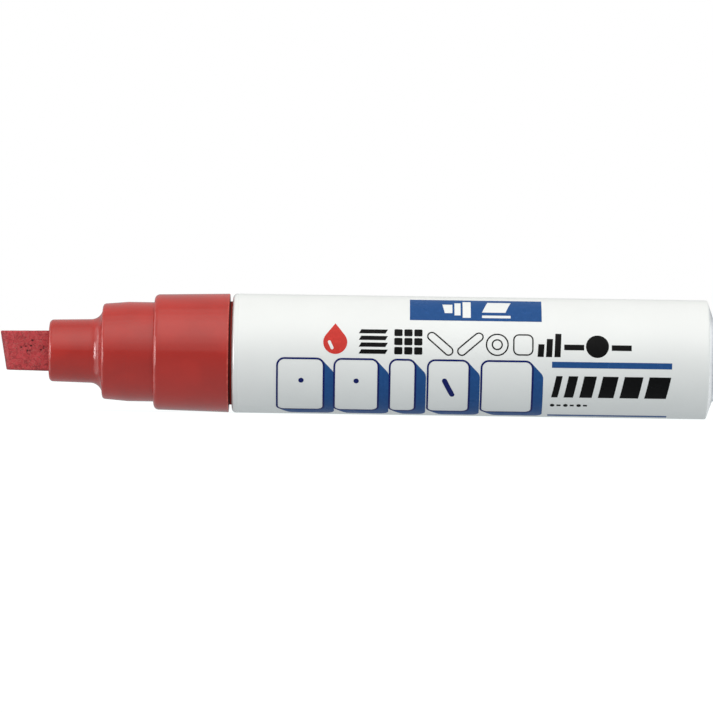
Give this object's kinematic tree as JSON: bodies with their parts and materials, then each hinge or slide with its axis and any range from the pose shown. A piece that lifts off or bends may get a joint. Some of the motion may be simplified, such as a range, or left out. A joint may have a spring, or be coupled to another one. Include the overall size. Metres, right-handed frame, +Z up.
{
  "type": "felt tip marker",
  "caption": "Broad paint marker, uncapped: slanted felt nib pressed against a sprung valve, stepped red front section, collar, and a round metal can barrel with a mixing ball.",
  "frame": {"origin": "middle of the box round the marker, on the surface that it lies on", "axes": "+X along the marker from the nib to the foot, +Z up; the nib's broad faces look along -Y and +Y"},
  "size_m": [0.1414, 0.0234, 0.0235],
  "materials": {
    "nib_felt": "dense pressed felt soaked with red paint",
    "red_moulding": "satin moulded plastic",
    "printed_can": "white lacquer and print over aluminium",
    "sealing_rubber": "matte black rubber",
    "valve_moulding": "natural white moulded plastic",
    "spring_steel": "drawn stainless wire",
    "ball_steel": "polished steel"
  },
  "bodies": {
    "barrel": {"barrel": "printed_can", "nib_holder": "red_moulding", "collar": "red_moulding", "mouth_gasket": "sealing_rubber", "valve_body": "valve_moulding", "valve_cage": "valve_moulding", "valve_spring": "spring_steel"},
    "nib_and_valve": {"nib": "nib_felt", "valve_plunger": "valve_moulding", "valve_seal": "sealing_rubber"},
    "mixing_ball": {"mixing_ball": "ball_steel"}
  },
  "joints": [
    {"name": "nib_press", "type": "slide", "parent": "barrel", "child": "nib_and_valve", "axis": [1, 0, 0], "range_m": [0, 0.0025], "stiffness_N_per_m": 600, "springref_m": -0.002, "deforming": ["valve_spring"]},
    {"name": "ball_roll", "type": "slide", "parent": "barrel", "child": "mixing_ball", "axis": [1, 0, 0], "range_m": [-0.0374, 0.0374]}
  ]
}
